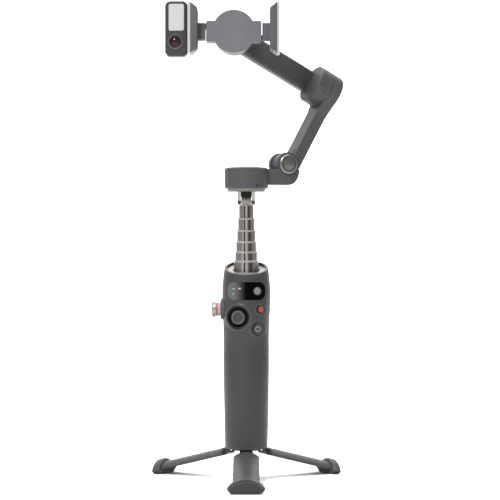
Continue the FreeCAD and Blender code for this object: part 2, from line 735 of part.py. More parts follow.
fold_pin = turned("fold_pin_turn", [
    ("0", "-arm_depth / 2 - 2.2"), ("fold_cap_radius - 0.8", "-arm_depth / 2 - 2.2"),
    ("fold_cap_radius", "-arm_depth / 2 - 1.4"), ("fold_cap_radius", "-arm_depth / 2"),
    ("2.5", "-arm_depth / 2"), ("2.5", "arm_depth / 2"),
    ("fold_cap_radius", "arm_depth / 2"), ("fold_cap_radius", "arm_depth / 2 + 1.4"),
    ("fold_cap_radius - 0.7", "arm_depth / 2 + 2.1"), ("5.9", "arm_depth / 2 + 2.1"),
    ("5.7", "arm_depth / 2 + 1.5"), ("5.3", "arm_depth / 2 + 1.5"), ("5.1", "arm_depth / 2 + 2.2"),
    ("0", "arm_depth / 2 + 2.6")])
keep("fold_pin", fold_pin, HEAD.multiply(Placement(Vector(reach, 0, level), TO_FRONT)))

# ---------------------------------------------------------------- folding arm and tilt motor

arm_rise = value("elbow_height - fold_height")
arm_run = value("elbow_reach - fold_reach")
rise_angle = math.degrees(math.atan2(arm_rise, arm_run))
arm_length = math.hypot(arm_rise, arm_run)
# The arm's own frame: X along the arm, Y to the back, Z to the inner side, where the upper arm leaves.
ARM = HEAD.multiply(Placement(Vector(reach, 0, level), Rotation(Y_AXIS, -rise_angle)))
tilt_turn = rise_angle + 90.0 - (180.0 - value("elbow_slope"))
# The elbow's frame: Z along the tilt axis towards the clamp, Y to the back.
ELBOW_IN_ARM = Placement(Vector(arm_length, 0, 0), Rotation(Y_AXIS, tilt_turn))
ELBOW = ARM.multiply(ELBOW_IN_ARM)

tongue_deep = value("fold_tongue") / 2
half_deep = value("lower_arm_depth") / 2
near_side = -value("lower_arm_offset")
far_side = near_side - value("lower_arm_width")
outer = -value("elbow_outer")
elbow_round = value("elbow_radius")

neck = Part.makeBox(13.4, 2 * tongue_deep, 9.4, Vector(1.6, -tongue_deep, far_side + 0.6))
neck_eye = Part.makeCylinder(value("fold_barrel") - 1.0, 2 * tongue_deep,
                             Vector(0, -tongue_deep, 0), Y_AXIS)

# The beam keeps one width and flares in depth until it meets the elbow's round outer shell.
low_end = 1.6
flare_start = arm_length - elbow_round - 6.0
touch = math.radians(62.0)
touch_along = arm_length - elbow_round * math.cos(touch)
touch_deep = elbow_round * math.sin(touch)
outline = [(low_end, -half_deep), (flare_start, -half_deep), (touch_along, -touch_deep),
           (touch_along, touch_deep), (flare_start, half_deep), (low_end, half_deep), (low_end, -half_deep)]
wire = Part.makePolygon([Vector(along, deep, far_side) for along, deep in outline])
beam = Part.Face(wire).extrude(Vector(0, 0, value("lower_arm_width")))
flare_edges = [edge for edge in beam.Edges
               if runs_along(edge, Z_AXIS) and abs(edge.CenterOfMass.x - flare_start) < 0.01]
beam = beam.makeFillet(14.0, flare_edges)
face_edges = [edge for edge in beam.Edges if abs(edge.BoundBox.ZMax - far_side) < 0.01
              and abs(edge.CenterOfMass.y) > 1.0]
beam = beam.makeFillet(1.1, face_edges)
shell = Part.makeCylinder(elbow_round, value("elbow_outer") - 1.8, Vector(0, 0, outer))
shell = shell.makeFillet(2.2, [edge for edge in shell.Edges if abs(edge.CenterOfMass.z - outer) < 0.01
                               and isinstance(edge.Curve, Part.Circle)])
shell = shell.transformed(ELBOW_IN_ARM.toMatrix())
room = Part.makeCylinder(elbow_round - 1.9, 20, Vector(0, 0, outer + 2.0))
room = room.transformed(ELBOW_IN_ARM.toMatrix())
barrel_room = Part.makeCylinder(value("fold_barrel") + 0.3, 40, Vector(0, -20, 0), Y_AXIS)
fold_hole = Part.makeCylinder(2.5 + value("fit"), 30, Vector(0, -15, 0), Y_AXIS)
inner_room = Part.makeCylinder(elbow_round + 0.6, 30, Vector(0, 0, -1.8))
inner_room = inner_room.transformed(ELBOW_IN_ARM.toMatrix())
beam = beam.cut(barrel_room)
folding = neck.fuse([neck_eye, beam, shell]).cut(room).cut(inner_room).cut(fold_hole).removeSplitter()
keep("fold_arm", plain("fold_arm_shape", folding), ARM)
keep("tilt_motor", ring("tilt_motor_turn", "2.5", "elbow_radius - 2.2", "-elbow_outer + 2.1", "-2.2"),
     ELBOW)

drum = turned("elbow_drum", [
    ("0", "-1.5"), ("elbow_radius", "-1.5"), ("elbow_radius", "elbow_inner"), ("0", "elbow_inner")])
soften(drum, 1.6, lambda edge: is_circle_at(edge, value("elbow_inner")))
shaft = cylinder("elbow_shaft", "2.4", "8", at(z=-9.0))
bar = prism("upper_bar", "XY_Plane",
            rectangle("upper_arm_shift - upper_arm_width / 2", "upper_arm_shift + upper_arm_width / 2",
                      "upper_arm_back - upper_arm_depth / 2", "upper_arm_back + upper_arm_depth / 2"),
            "upper_arm_length + 1.0", "-1.0")
soften(bar, 2.6, lambda edge: runs_along(edge, Z_AXIS))
drum_part = joined("upper_bar_joined", drum, shaft, bar)
doc.recompute()

ROLL = Placement(Vector(value("roll_across"), 0, value("roll_height")),
                 Rotation(X_AXIS, Z_AXIS, Vector(0, -1, 0), "ZXY"))
roll_shell = turned("roll_shell", [
    ("0", "roll_back"), ("roll_radius - 1.5", "roll_back"), ("roll_radius", "roll_back + 1.5"),
    ("roll_radius", "roll_front"), ("roll_radius - 2", "roll_front"),
    ("roll_radius - 2", "roll_back + 7"), ("0", "roll_back + 7")])
roll_shell.Placement = ROLL
drum_part.Placement = ELBOW
roll_cavity = cylinder("roll_cavity", "roll_radius - 2", "40",
                       ROLL.multiply(at(z=value("roll_back") + 7)))
roll_clear = cylinder("roll_clear", "roll_radius + 12", "60", ROLL.multiply(at(z=value("roll_front"))))
keep("upper_arm", cut("upper_arm_cut", joined("upper_arm_joined", drum_part, roll_shell),
                      roll_cavity, roll_clear))
keep("roll_motor", ring("roll_motor_turn", "3", "roll_radius - 2.3", "roll_back + 7.1", "roll_front - 0.6"),
     ROLL)

# ---------------------------------------------------------------- clamp

plate = turned("roll_plate_turn", [
    ("0", "roll_front + 0.3"), ("stack_radius", "roll_front + 0.3"), ("stack_radius", "roll_front + 3.6"),
    ("stack_radius - 0.6", "roll_front + 4.2"), ("0", "roll_front + 4.2")])
plate_axle = cylinder("plate_axle", "2.9", "7.0", at(z=value("roll_front") - 6.3))
keep("roll_plate", joined("roll_plate_joined", plate, plate_axle), ROLL)

back_level = "roll_front + 4.3"
back = turned("clamp_back", [
    ("0", back_level), ("stack_radius - 0.8", back_level), ("stack_radius", f"{back_level} + 0.8"),
    ("stack_radius", "disc_front - 2.1"), ("0", "disc_front - 2.1")])
bar_body = prism("clamp_bar", "XY_Plane",
                 rectangle("-clamp_half", "clamp_half", "-clamp_height / 2", "clamp_height / 2"),
                 "11.3", "disc_front - 13.4")
soften(bar_body, 1.5, lambda edge: runs_along(edge, Z_AXIS))
tunnel = block("tunnel", "-clamp_half - 5", "clamp_half + 5", "-slider_height / 2 - 0.25",
               "slider_height / 2 + 0.25", "disc_front - 11.7", "disc_front - 4.3")
keep("clamp_body", cut("clamp_body_cut", joined("clamp_body_joined", back, bar_body), tunnel), ROLL)
disc = ring("clamp_disc_turn", "0", "disc_radius", "disc_front - 2.0", "disc_front")
wings = prism("clamp_wings", "XY_Plane",
              rectangle("-clamp_half", "clamp_half", "-clamp_height / 2", "clamp_height / 2"),
              "2.0", "disc_front - 2.0")
soften(wings, 1.5, lambda edge: runs_along(edge, Z_AXIS))
doc.recompute()
face_plate = disc.Shape.fuse(wings.Shape).removeSplitter()
front_rim = [edge for edge in face_plate.Edges if abs(edge.BoundBox.ZMin - value("disc_front")) < 0.01]
keep("clamp_disc", plain("clamp_face", face_plate.makeFillet(0.45, front_rim)), ROLL)

rail_low, rail_high = "disc_front - 11.5", "disc_front - 4.5"
for side, label in ((-1, "left"), (1, "right")):
    mirror = "-" if side < 0 else ""

    def span(near, far):
        """Return the two x limits of a stretch on this side, lowest first."""
        pair = (f"{mirror}({near})", f"{mirror}({far})")
        return pair if side > 0 else pair[::-1]

    x_low, x_high = span("clamp_half + 0.5", "jaw_gap_half + 1")
    post = block("post_" + label, x_low, x_high, "-slider_height / 2", "slider_height / 2",
                 rail_low, "disc_front - 1.2")
    x_low, x_high = span("0 - 12", "clamp_half + 1")
    y_low, y_high = ("2.6", "slider_height / 2") if side < 0 else ("-slider_height / 2", "-2.6")
    rail = block("rail_" + label, x_low, x_high, y_low, y_high, rail_low, rail_high)
    jaw_low, jaw_high = "jaw_gap_half", "jaw_gap_half + jaw_thickness"
    corners = [(f"{mirror}({jaw_low})", "jaw_lift - jaw_inner_height / 2"),
               (f"{mirror}({jaw_high})", "jaw_lift - jaw_height / 2"),
               (f"{mirror}({jaw_high})", "jaw_lift + jaw_height / 2"),
               (f"{mirror}({jaw_low})", "jaw_lift + jaw_inner_height / 2")]
    jaw_block = prism("jaw_block_" + label, "XY_Plane", corners, "jaw_front - jaw_back", "jaw_back")
    soften(jaw_block, 2.0, lambda edge: runs_along(edge, Z_AXIS)
           and abs(abs(edge.CenterOfMass.x) - value("jaw_gap_half")) < 0.01)
    soften(jaw_block, 1.0, lambda edge: abs(edge.BoundBox.ZMin - value("jaw_front")) < 0.01)
    x_low, x_high = span("jaw_gap_half - 1", "jaw_gap_half + 2.6")
    groove = block("groove_" + label, x_low, x_high, "-30", "30", "disc_front + 0.2", "jaw_front - 1.8")
    whole_jaw = joined("jaw_joined_" + label, post, rail, jaw_block)
    keep("jaw_" + label, cut("jaw_cut_" + label, whole_jaw, groove), ROLL)
    x_low, x_high = span("jaw_gap_half + 1.3", "jaw_gap_half + 2.6")
    rubber = block("rubber_" + label, x_low, x_high, "jaw_lift - jaw_inner_height / 2 + 0.5",
                   "jaw_lift + jaw_inner_height / 2 - 0.5", "disc_front + 0.2", "jaw_front - 1.8")
    keep("jaw_pad_" + label, rubber, ROLL)
    x_low, x_high = span("jaw_gap_half + jaw_thickness", "jaw_gap_half + jaw_thickness + jaw_plate")
    skin = block("skin_" + label, x_low, x_high, "jaw_lift - jaw_height / 2 + 0.4",
                 "jaw_lift + jaw_height / 2 - 0.4", "jaw_back + 1", "jaw_front - 0.8")
    soften(skin, 1.2, lambda edge: runs_along(edge, X_AXIS))
    keep("jaw_plate_" + label, skin, ROLL)

pinion = Part.makeCylinder(1.9, 6.6, Vector(0, 0, value("disc_front") - 11.3))
tooth = Part.makeBox(0.7, 0.7, 6.6, Vector(1.7, -0.35, value("disc_front") - 11.3))
teeth = [tooth.transformed(at(turn=360.0 * step / 10).toMatrix()) for step in range(10)]
keep("clamp_pinion", plain("pinion_shape", pinion.fuse(teeth)), ROLL)

# Fill light and tracking camera on the left jaw's outer plate.
light_edge = value("jaw_gap_half + jaw_thickness + jaw_plate") + 0.1
light_mid = value("jaw_lift") - 0.3
LIGHT = ROLL.multiply(at(x=-light_edge - value("light_width") / 2, y=light_mid, z=24.0))
case = prism("light_case", "XY_Plane",
             rectangle("-light_width / 2", "light_width / 2", "-light_height / 2", "light_height / 2"),
             "light_depth")
soften(case, value("light_corner"), lambda edge: runs_along(edge, Z_AXIS))
soften(case, 1.2, lambda edge: abs(edge.CenterOfMass.z) < 0.01)
soften(case, 1.6, lambda edge: abs(edge.BoundBox.ZMin - value("light_depth")) < 0.01)
recess = prism("light_recess", "XY_Plane", rectangle("-6.0", "6.0", "-1.8", "19.3"), "3",
               "light_depth - 1.3")
soften(recess, 1.6, lambda edge: runs_along(edge, Z_AXIS))
lens_x = -0.8
lens_y = -10.2
lens_hole = cylinder("lens_hole", "4.8", "8", at(x=lens_x, y=lens_y, z=value("light_depth") - 4))
inside = prism("light_inside", "XY_Plane", rectangle("-6.6", "6.6", "-19", "19"), "light_depth - 6.0", "1.6")
keep("light_case", cut("light_case_cut", case, recess, lens_hole, inside), LIGHT)
panel = prism("light_panel_block", "XY_Plane", rectangle("-5.9", "5.9", "-1.7", "19.2"), "1.1",
              "light_depth - 1.25")
keep("light_panel", soften(panel, 1.5, lambda edge: runs_along(edge, Z_AXIS)), LIGHT)
lens_ring = turned("lens_ring_turn", [
    ("3.2", "light_depth - 3.9"), ("4.75", "light_depth - 3.9"), ("4.75", "light_depth + 0.02"),
    ("5.9", "light_depth + 0.02"), ("5.6", "light_depth + 0.4"), ("4.0", "light_depth + 0.35"),
    ("3.2", "light_depth - 0.9")])
keep("lens_ring", lens_ring, LIGHT.multiply(at(x=lens_x, y=lens_y)))
glass = turned("lens_glass_turn", [("0", "light_depth - 3.8"), ("3.15", "light_depth - 3.8"),
                                   ("3.15", "light_depth - 1.2"), ("1.8", "light_depth - 0.7"),
                                   ("0", "light_depth - 0.6")])
keep("lens_glass", glass, LIGHT.multiply(at(x=lens_x, y=lens_y)))

# ---------------------------------------------------------------- check and write

doc.recompute()
faults = [item.Name for item in doc.Objects if "Invalid" in item.State or "Error" in item.State]
for label, piece in pieces.items():
    if piece.Shape.isNull() or not piece.Shape.isValid() or not piece.Shape.Solids:
        faults.append(label)
if faults:
    raise RuntimeError("These objects failed: " + ", ".join(faults))

os.makedirs("parts", exist_ok=True)
for label, piece in pieces.items():
    piece.Shape.exportStep(f"parts/{label}.step")
print(len(pieces), "pieces written")
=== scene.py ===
"""Finishes, small visible pieces, stage, light and camera for the folding camera gimbal."""
import math

import bmesh
import bpy
from bpy.props import FloatProperty, FloatVectorProperty, IntProperty, PointerProperty
from mathutils import Matrix, Vector


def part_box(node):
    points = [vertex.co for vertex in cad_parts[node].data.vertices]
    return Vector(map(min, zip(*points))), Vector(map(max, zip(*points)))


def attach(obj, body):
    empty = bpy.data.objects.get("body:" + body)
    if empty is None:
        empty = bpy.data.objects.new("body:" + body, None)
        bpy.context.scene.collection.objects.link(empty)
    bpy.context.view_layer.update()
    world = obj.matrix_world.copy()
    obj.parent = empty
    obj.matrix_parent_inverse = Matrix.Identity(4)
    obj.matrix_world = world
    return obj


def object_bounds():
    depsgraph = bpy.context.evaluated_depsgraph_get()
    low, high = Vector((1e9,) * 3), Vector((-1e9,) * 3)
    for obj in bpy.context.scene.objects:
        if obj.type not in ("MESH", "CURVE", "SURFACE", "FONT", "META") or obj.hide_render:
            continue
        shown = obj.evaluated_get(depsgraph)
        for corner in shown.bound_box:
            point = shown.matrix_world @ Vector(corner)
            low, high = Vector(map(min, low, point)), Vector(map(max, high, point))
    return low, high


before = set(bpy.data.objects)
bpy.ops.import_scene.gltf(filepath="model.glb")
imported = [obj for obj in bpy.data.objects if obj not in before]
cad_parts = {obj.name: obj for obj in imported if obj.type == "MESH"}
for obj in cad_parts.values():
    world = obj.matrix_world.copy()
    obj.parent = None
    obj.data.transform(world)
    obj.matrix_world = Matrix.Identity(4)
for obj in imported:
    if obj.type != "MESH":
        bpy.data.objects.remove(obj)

bl_info = {
    "name": "Folding Camera Gimbal",
    "version": (1, 0, 0),
    "blender": (4, 5, 0),
    "location": "3D View > Sidebar > Gimbal",
    "description": "Dresses the folding camera gimbal and sets its studio",
    "category": "Object",
}

MM = 0.001
CAD_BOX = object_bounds()
GROUND = CAD_BOX[0][2]
ROD_SECTIONS = "abcdef"

# Places on the frame's pieces.
TONGUE_REACH = 5.72 * MM
DIAL_BAND = 2.0 * MM
COLLAR_HEIGHT = 1.42 * MM
TOP_COLLAR_HEIGHT = 0.4 * MM
PLATE_HEIGHT = 205.8 * MM
KEYWAY = (-2.15 * MM, -0.75 * MM)   # sideways limits of the slot along the rod, painted dark as shade
KEYWAY_FRONT = -1.0 * MM
DISH_SLOPE = math.radians(16.0)

# Sizes and stretches of the surface texture.
GRAIN_DEPTH = 0.03 * MM
LINE_WIDTH = 0.18 * MM
LINE_DEPTH = 0.006 * MM
DUST_SIZE = 0.7 * MM
WAVE_SIZE = 20.0 * MM
WAVE_DEPTH = 0.04 * MM
SEAM_HALF = (0.08 * MM, 0.22 * MM)
EVERY_WAY = (1.0, 1.0, 1.0)
UPWARDS = (1.0, 1.0, 0.02)
SIDEWAYS = (0.05, 1.0, 1.0)

# Painted reflections and shade: light and dark bands across a rod section, set by the way its surface faces,
# from its left side (0) to its right (1).
TUBE_PAINTED_REFLECTIONS = (
    (0.0, 0.16), (0.05, 0.30), (0.10, 0.62), (0.21, 0.50), (0.285, 0.60), (0.305, 0.95), (0.36, 1.0),
    (0.555, 1.0), (0.585, 0.30), (0.64, 0.10), (0.73, 0.09), (0.765, 0.34), (0.83, 0.62), (0.90, 0.46),
    (0.955, 0.80), (1.0, 0.25),
)

# Painted reflection: colours across the display window, from its left end (0) to its right (1).
WINDOW_PAINTED_REFLECTION = ((0.0, (0.085, 0.087, 0.09)), (0.20, (0.075, 0.077, 0.08)), (0.40, (0.016, 0.016, 0.017)),
         (0.46, (0.006, 0.006, 0.007)), (0.47, (0.001, 0.001, 0.001)), (1.0, (0.001, 0.001, 0.001)))

# Surrounds of the controls, as (radius, lift) steps in millimetres.
SURROUNDS = {
    "stick_well": ((9.00, 0.05), (9.30, 0.50), (9.90, 0.62), (10.60, 0.38), (11.30, 0.01)),
    "record_button": ((3.60, 0.00), (3.80, 0.10), (4.30, 0.16), (4.80, 0.12), (5.30, 0.00)),
    "switch_button": ((5.20, 0.02), (5.45, 0.32), (5.90, 0.36), (6.40, 0.16), (6.90, 0.00)),
}

# Small screws and sensor holes: name, node, body, x, height, radius and stretch, lengths in millimetres.
PITS = (
    ("housing_screw", "pan_housing", "pan", 8.5, 210.5, 0.7, 1.5),
    ("elbow_screw", "upper_arm", "elbow", 63.0, 287.5, 0.6, 1.3),
    ("arm_screw", "fold_arm", "lower_arm", 49.6, 267.9, 0.8, 1.2),
    ("handle_sensor", "handle_front_cover", "root", 16.3, 126.9, 0.4, 1.0),
)

# The stage, in metres and watts.
AIR_LIGHT = 0.32
AIR_SEEN = 1.0
FLOOR_WIDTH, FLOOR_NEAR, FLOOR_FAR = 12.0, -6.0, 1.6
WALL_TOP, WALL_CURVE, CURVE_STEPS = 3.0, 0.8, 24
LIGHTS = (
    ("top_softbox", (0.0, 0.4, 2.5), (0.0, 0.4, 0.0), (3.2, 3.2), 100.0),
    ("left_softbox", (-0.5, -1.15, 1.30), (0.0, 0.0, 0.16), (0.35, 0.8), 32.0),
    ("wall_wash", (0.0, 0.9, 1.9), (0.0, 2.4, 0.4), (2.6, 0.5), 45.0),
)
SENSOR_WIDTH = 36.0


def own_span(node, axis):
    """Return a node's limits along one axis of its own coordinates."""
    spots = [corner.co[axis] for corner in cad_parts[node].data.vertices]
    return min(spots), max(spots)


def tube_top(node):
    """Return the height where a rod section's round wall ends, in its own coordinates."""
    return max(spot.co.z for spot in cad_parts[node].data.vertices
               if math.hypot(spot.co.x, spot.co.y) > TONGUE_REACH)


WINDOW_SPAN = own_span("display_window", 0)
DIAL_BORDER = own_span("dial_ring", 0)[0] + DIAL_BAND


# ---------------------------------------------------------------- settings

def colour_property(name, description, default):
    """Make a colour setting with the usual limits."""
    return FloatVectorProperty(name=name, description=description, default=default, size=3,
                               subtype="COLOR", min=0.0, max=1.0)


class GimbalFinishes(bpy.types.PropertyGroup):
    """Colours of the gimbal's finishes."""

    shell: colour_property("Shell", "Matte grey of the handle", (0.029, 0.0297, 0.0308))
    arms: colour_property("Arms", "Matte grey of the head and its arms", (0.040, 0.041, 0.043))
    legs: colour_property("Legs", "Matte grey of the tripod legs", (0.036, 0.0367, 0.038))
    rod: colour_property("Rod", "Warm polished metal of the telescopic rod", (0.34, 0.322, 0.305))
    dish: colour_property("Dish", "Pale dish in the handle's mouth", (0.26, 0.245, 0.23))
    hinge: colour_property("Hinge cap", "Brown-grey metal of the folding hinge's cap", (0.215, 0.203, 0.192))
    record: colour_property("Record mark", "Red of the record button's dot", (0.27, 0.026, 0.024))
    dial: colour_property("Dial ring", "Coloured ring of the side dial", (0.36, 0.085, 0.07))
    signal: colour_property("Signal marks", "Green marks in the display window", (0.07, 0.30, 0.13))


class GimbalGrain(bpy.types.PropertyGroup):
    """Scale of the surface texture."""

    grain: FloatProperty(name="Grain", description="Size of the moulded grain", default=0.00035,
                         unit="LENGTH", min=0.0001, max=0.002)
    bumps: IntProperty(name="Stick bumps", description="Number of bumps round the thumb stick",
                       default=16, min=4, max=40)


class GimbalStudio(bpy.types.PropertyGroup):
    """Camera and floor."""

    distance: FloatProperty(name="Camera distance", default=1.293, unit="LENGTH",
                            description="Distance of the camera from the handle's axis")
    across: FloatProperty(name="Camera offset", description="Sideways offset of the camera", default=0.00296,
                          unit="LENGTH")
    eye: FloatProperty(name="Eye height", description="Height of the camera above the floor", default=0.1834,
                       unit="LENGTH")
    lens: FloatProperty(name="Focal length", description="Focal length of the camera in millimetres",
                        default=116.4, unit="CAMERA")
    floor: colour_property("Floor", "Colour of the pale floor and backdrop", (0.93, 0.93, 0.93))


# ---------------------------------------------------------------- material building

class Graph:
    """A small helper around one material's node tree."""

    def __init__(self, name):
        self.material = bpy.data.materials.new(name)
        self.material.use_nodes = True
        self.tree = self.material.node_tree
        self.tree.nodes.clear()
        self.output = self.tree.nodes.new("ShaderNodeOutputMaterial")
        self.shader = self.tree.nodes.new("ShaderNodeBsdfPrincipled")
        self.tree.links.new(self.shader.outputs["BSDF"], self.output.inputs["Surface"])
        coordinates = self.tree.nodes.new("ShaderNodeTexCoord")
        self.place = coordinates.outputs["Object"]
        self.normal = coordinates.outputs["Normal"]

    def give(self, socket, given):
        """Link a socket to another one, or set it to a value."""
        if isinstance(given, bpy.types.NodeSocket):
            self.tree.links.new(given, socket)
        else:
            socket.default_value = given

    def node(self, kind, inputs=None, **settings):
        """Add a node, set its fields, and link or set its inputs."""
        made = self.tree.nodes.new(kind)
        for field, setting in settings.items():
            setattr(made, field, setting)
        for key, given in (inputs or {}).items():
            self.give(made.inputs[key], given)
        return made

    def stretched(self, scale):
        """Return object coordinates scaled unevenly."""
        return self.node("ShaderNodeMapping", {"Vector": self.place, "Scale": scale}).outputs["Vector"]

    def noise(self, size, detail=3.0, rough=0.55, where=None):
        """Return a noise value whose features are about size metres wide."""
        made = self.node("ShaderNodeTexNoise", {"Vector": where or self.place, "Scale": 1.0 / size,
                                                "Detail": detail, "Roughness": rough})
        return made.outputs["Fac"]

    def spread(self, source, low, high, start=0.0, stop=1.0):
        """Map a value from one range to another."""
        made = self.node("ShaderNodeMapRange", {"Value": source, "From Min": start, "From Max": stop,
                                                "To Min": low, "To Max": high})
        return made.outputs["Result"]

    def mask(self, source, start, stop, most=1.0):
        """Rise from nothing to most as a value goes from start to stop."""
        return self.spread(source, 0.0, most, start, stop)

    def mix(self, factor, first, second):
        """Mix two colours."""
        made = self.tree.nodes.new("ShaderNodeMix")
        made.data_type = "RGBA"
        for number, given in ((0, factor), (6, first), (7, second)):
            self.give(made.inputs[number], given)
        return made.outputs[2]

    def times(self, first, second):
        """Multiply two values."""
        return self.node("ShaderNodeMath", {0: first, 1: second}, operation="MULTIPLY").outputs[0]

    def bump(self, height, distance, strength):
        """Return a normal bumped by a height value."""
        made = self.node("ShaderNodeBump", {"Height": height, "Distance": distance, "Strength": strength})
        return made.outputs["Normal"]

    def edges(self, low=0.52, high=0.60):
        """Return a mask of the convex edges."""
        point = self.node("ShaderNodeNewGeometry").outputs["Pointiness"]
        return self.mask(point, low, high)

    def part(self, axis):
        """Return one object coordinate in metres."""
        split = self.node("ShaderNodeSeparateXYZ", {"Vector": self.place})
        return split.outputs[axis]

    def ramp(self, source, stops):
        """Return a colour that runs through (position, colour) stops."""
        made = self.tree.nodes.new("ShaderNodeValToRGB")
        self.tree.links.new(source, made.inputs["Fac"])
        points = made.color_ramp.elements
        while len(points) < len(stops):
            points.new(0.5)
        for point, (position, _) in zip(points, stops):
            point.position = position
        for point, (_, colour) in zip(points, stops):
            point.color = tuple(colour) + (1.0,)
        return made.outputs["Color"]

    def set(self, **sockets):
        """Set or link the shader's sockets, named with underscores for spaces."""
        for key, given in sockets.items():
            self.give(self.shader.inputs[key.replace("_", " ")], given)
        return self.material


def shaded(colour, factor):
    """Return a colour made lighter or darker."""
    return tuple(min(1.0, channel * factor) for channel in colour)


def tone(colour, factor=1.0):
    """Return a colour made lighter or darker, with alpha."""
    return shaded(colour, factor) + (1.0,)


def moulded(name, colour, roughness, grain, seam=False, rim=None):
    """Fine-grained moulded plastic with worn edges, and a parting line or a pale rim where asked."""
    graph = Graph(name)
    cloud = graph.noise(18.0 * MM, 4.0)
    fine = graph.noise(grain, 2.0, 0.6)
    base = graph.mix(graph.mask(cloud, 0.3, 0.7), tone(colour, 0.93), tone(colour, 1.07))
    base = graph.mix(graph.mask(fine, 0.35, 0.65, 0.35), base, tone(colour, 1.35))
    base = graph.mix(graph.times(graph.edges(), 0.35), base, tone(colour, 1.7))
    if seam:
        offset = graph.node("ShaderNodeMath", {0: graph.part("Y")}, operation="ABSOLUTE").outputs[0]
        line = graph.spread(offset, 1.0, 0.0, *SEAM_HALF)
        base = graph.mix(graph.times(line, 0.75), base, tone(colour, 0.25))
    if rim is not None:
        surface = graph.node("ShaderNodeNewGeometry").outputs["Normal"]
        along = graph.node("ShaderNodeVectorMath", {0: surface, 1: rim}, operation="DOT_PRODUCT")
        mask = graph.mask(along.outputs["Value"], 0.975, 0.99)
        base = graph.mix(mask, base, tone(colour, 3.4))
    rough = graph.spread(graph.noise(6.0 * MM, 5.0), roughness - 0.05, roughness + 0.06, 0.3, 0.7)
    return graph.set(Base_Color=base, Roughness=rough, Normal=graph.bump(fine, GRAIN_DEPTH, 0.6),
                     Specular_IOR_Level=0.22)


def drawn_metal(name, colour, roughness, along, dark_above=None):
    """Drawn or brushed metal whose fine lines run one way, darker above a height if one is given."""
    graph = Graph(name)
    lines = graph.noise(LINE_WIDTH, 2.0, 0.6, graph.stretched(along))
    cloud = graph.noise(12.0 * MM, 3.0)
    base = graph.mix(graph.mask(lines, 0.3, 0.7), tone(colour, 0.9), tone(colour, 1.06))
    base = graph.mix(graph.mask(cloud, 0.4, 0.7, 0.35), base, tone(colour, 0.82))
    base = graph.mix(graph.times(graph.edges(), 0.5), base, tone(colour, 1.3))
    if dark_above is not None:
        plate = graph.mask(graph.part("Z"), dark_above - 0.1 * MM, dark_above)
        base = graph.mix(plate, base, tone(colour, 0.5))
    rough = graph.spread(lines, roughness - 0.04, roughness + 0.08, 0.3, 0.7)
    return graph.set(Base_Color=base, Metallic=1.0, Roughness=rough,
                     Normal=graph.bump(lines, LINE_DEPTH, 0.5))


def tube_metal(name, colour, collar_from):
    """Polished tube with painted reflections and shade as light and dark bands, its keyway painted dark as
    shade, and a pale collar above a height.
    """
    graph = Graph(name)
    turn = graph.node("ShaderNodeSeparateXYZ", {"Vector": graph.normal}).outputs["X"]
    lines = graph.noise(LINE_WIDTH, 2.0, 0.6, graph.stretched(UPWARDS))
    across = graph.mask(turn, -1.0, 1.0)
    # Painted reflections and shade: the bands follow the way the surface faces.
    stops = [(spot, [channel * level for channel in colour]) for spot, level in TUBE_PAINTED_REFLECTIONS]
    painted_bands = graph.ramp(across, stops)
    # Painted shade: the keyway slot is painted near black, as if deep in shadow.
    side = graph.part("X")
    blur = 0.15 * MM
    inside = graph.times(graph.mask(side, KEYWAY[0], KEYWAY[0] + blur),
                         graph.spread(side, 1.0, 0.0, KEYWAY[1] - blur, KEYWAY[1]))
    front = graph.spread(graph.part("Y"), 1.0, 0.0, KEYWAY_FRONT - 1.0 * MM, KEYWAY_FRONT)
    painted_bands = graph.mix(graph.times(inside, front), painted_bands, (0.022, 0.016, 0.013, 1.0))
    collar = graph.mask(graph.part("Z"), collar_from - 0.08 * MM, collar_from)
    base = graph.mix(collar, painted_bands, tone(colour, 1.12))
    base = graph.mix(graph.mask(lines, 0.3, 0.7, 0.25), base, tone(colour, 0.55))
    rough = graph.spread(lines, 0.26, 0.38, 0.3, 0.7)
    return graph.set(Base_Color=base, Metallic=0.7, Roughness=rough,
                     Normal=graph.bump(lines, LINE_DEPTH, 0.5))


def banded(name, near, far, border):
    """Moulded ring whose colour changes at one distance along the sideways axis."""
    graph = Graph(name)
    fine = graph.noise(0.3 * MM, 2.0, 0.6)
    blur = 0.05 * MM
    mask = graph.spread(graph.part("X"), 1.0, 0.0, border - blur, border + blur)
    base = graph.mix(mask, near, far)
    base = graph.mix(graph.mask(fine, 0.35, 0.65, 0.3), base, (0.02, 0.01, 0.01, 1.0))
    rough = graph.spread(graph.noise(4.0 * MM, 4.0), 0.3, 0.42, 0.3, 0.7)
    return graph.set(Base_Color=base, Roughness=rough, Normal=graph.bump(fine, 0.02 * MM, 0.6))


def window_with_painted_reflection(name, left, right):
    """Black display window with a painted reflection that clears to grey towards its left end."""
    graph = Graph(name)
    dust = graph.noise(DUST_SIZE, 2.0, 0.7)
    wave = graph.noise(WAVE_SIZE, 2.0)
    # Painted reflection: grey at the left end, fading to black towards the right.
    across = graph.mask(graph.part("X"), left, right)
    reflection_ramp = graph.ramp(across, WINDOW_PAINTED_REFLECTION)
    base = graph.mix(graph.mask(dust, 0.62, 0.78, 0.05), reflection_ramp, (0.04, 0.04, 0.04, 1.0))
    rough = graph.spread(graph.noise(8.0 * MM, 4.0), 0.22, 0.32, 0.35, 0.7)
    return graph.set(Base_Color=base, Roughness=rough, Specular_IOR_Level=0.04,
                     Normal=graph.bump(wave, WAVE_DEPTH, 0.3))


def gloss(name, colour, roughness):
    """Clean glossy plastic with faint dust and waviness."""
    graph = Graph(name)
    dust = graph.noise(DUST_SIZE, 2.0, 0.7)
    wave = graph.noise(WAVE_SIZE, 2.0)
    base = graph.mix(graph.mask(dust, 0.62, 0.78, 0.12), colour + (1.0,), (0.25, 0.25, 0.25, 1.0))
    rough = graph.spread(graph.noise(8.0 * MM, 4.0), roughness, roughness + 0.08, 0.35, 0.7)
    return graph.set(Base_Color=base, Roughness=rough, Coat_Weight=0.2, Coat_Roughness=0.05,
                     Normal=graph.bump(wave, WAVE_DEPTH, 0.3))


